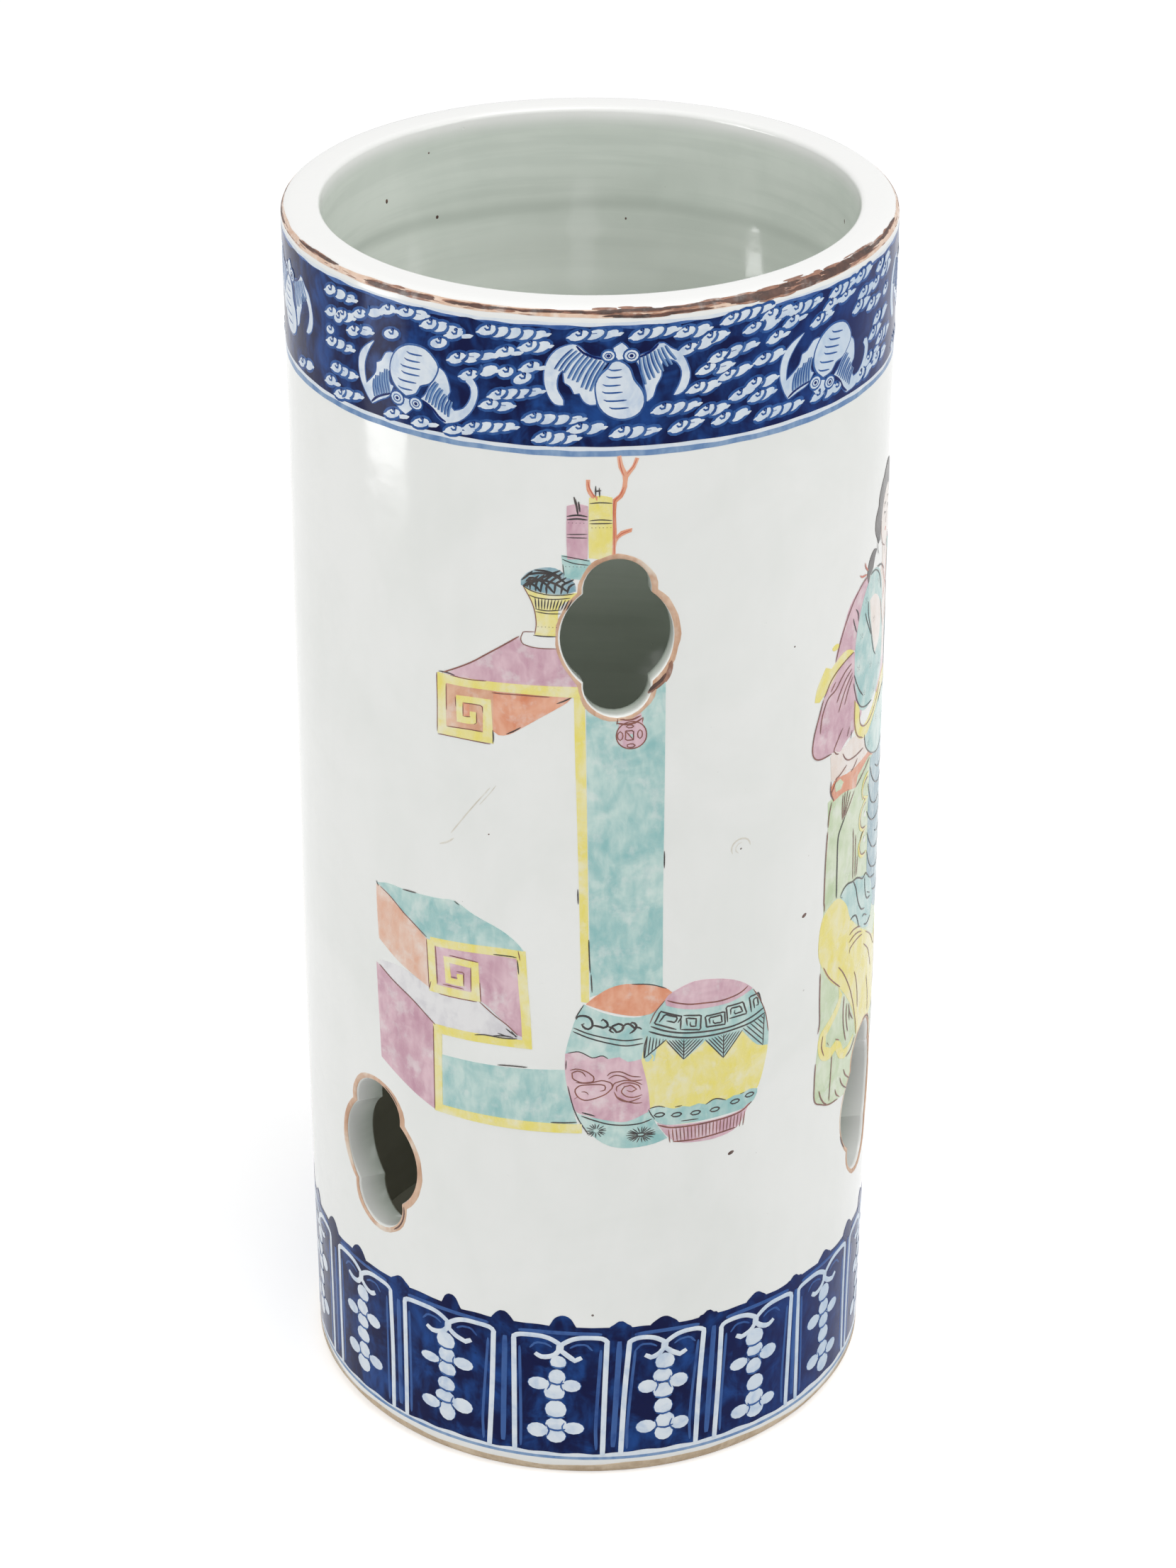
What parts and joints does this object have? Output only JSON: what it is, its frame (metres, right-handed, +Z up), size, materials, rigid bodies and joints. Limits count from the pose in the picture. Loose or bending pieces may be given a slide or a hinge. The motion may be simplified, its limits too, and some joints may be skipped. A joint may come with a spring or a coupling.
{
  "type": "hat stand",
  "caption": "Upright porcelain cylinder, open at the top and pierced with quatrefoil windows, that carries a formal hat on its rim; also used as a vase or brush pot.",
  "frame": {"origin": "middle of the foot, on the surface it stands on", "axes": "+Z up along the axis of the cylinder, -Y out through the middle of the front upper window"},
  "size_m": [0.1288, 0.129, 0.28],
  "materials": {
    "glazed_body": "thick clear glaze on white porcelain, slightly grey-green, glossy, with small pits and iron specks",
    "bare_foot": "unglazed porcelain foot and underside, tan to grey, dry and slightly gritty",
    "cobalt_band": "underglaze cobalt wash, uneven, under the same glossy glaze",
    "window_edge": "brown iron dressing on the cut edge, semi-matte",
    "enamel_mauve": "thin translucent mauve overglaze enamel, soft gloss",
    "enamel_yellow": "thin yellow overglaze enamel, soft gloss",
    "enamel_turquoise": "thin turquoise overglaze enamel, soft gloss",
    "enamel_orange": "thin coral orange overglaze enamel, soft gloss",
    "enamel_green": "thin pale green overglaze enamel, soft gloss",
    "enamel_blue": "thin grey-blue overglaze enamel, soft gloss",
    "enamel_line": "brown-black painted line, soft gloss"
  },
  "bodies": {
    "root": {"lower_wall": "glazed_body", "upper_wall": "glazed_body", "floor_slab": "glazed_body", "cloud_band": "cobalt_band", "lappet_band": "cobalt_band", "enamel_table_top": "enamel_mauve", "enamel_table_leg": "enamel_turquoise", "enamel_table_foot": "enamel_turquoise", "enamel_vase_group": "enamel_yellow", "enamel_coral_branch": "enamel_orange", "enamel_back_stool": "enamel_turquoise", "enamel_front_stool": "enamel_yellow", "enamel_robed_figure": "enamel_green", "enamel_rear_flower_vase": "enamel_mauve", "enamel_rear_incense_burner": "enamel_turquoise", "window_edge_upper_1": "window_edge", "window_edge_upper_2": "window_edge", "window_edge_upper_3": "window_edge", "window_edge_lower_1": "window_edge", "window_edge_lower_2": "window_edge", "window_edge_lower_3": "window_edge"}
  },
  "joints": []
}
